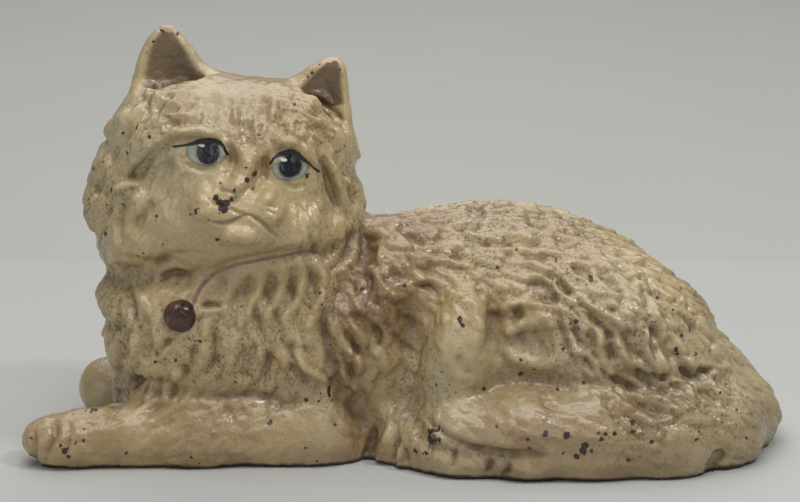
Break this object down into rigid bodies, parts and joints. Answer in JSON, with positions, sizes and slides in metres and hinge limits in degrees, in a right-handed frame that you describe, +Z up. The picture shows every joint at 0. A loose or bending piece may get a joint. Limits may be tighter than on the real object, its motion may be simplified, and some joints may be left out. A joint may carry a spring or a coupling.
{
  "type": "cast iron still bank",
  "caption": "Hollow cast-iron money box shaped as a long-haired cat lying down with its head turned, split lengthwise into two shells held by slotted screws, with a coin slot in the back.",
  "frame": {"origin": "under the middle of the bounding box, on the plane the bank rests on", "axes": "+Z up, +X along the body from the paws to the tail, -Y the side that the face looks to"},
  "size_m": [0.2701, 0.1106, 0.149],
  "materials": {
    "painted_casting": "worn glossy cream enamel over cast iron",
    "steel_screw": "dark oxidised steel"
  },
  "bodies": {
    "front": {"front_casting": "painted_casting"},
    "rear": {"rear_casting": "painted_casting"},
    "chest_fixing": {"chest_screw": "steel_screw"},
    "rump_fixing": {"rump_screw": "steel_screw"}
  },
  "joints": [
    {"name": "rear_casting_off", "type": "slide", "parent": "front", "child": "rear", "axis": [0, 1, 0], "range_m": [0, 0.09]},
    {"name": "chest_screw_out", "type": "slide", "parent": "rear", "child": "chest_fixing", "axis": [0, 1, 0], "range_m": [0, 0.065]},
    {"name": "rump_screw_out", "type": "slide", "parent": "rear", "child": "rump_fixing", "axis": [0, 1, 0], "range_m": [0, 0.07]}
  ]
}
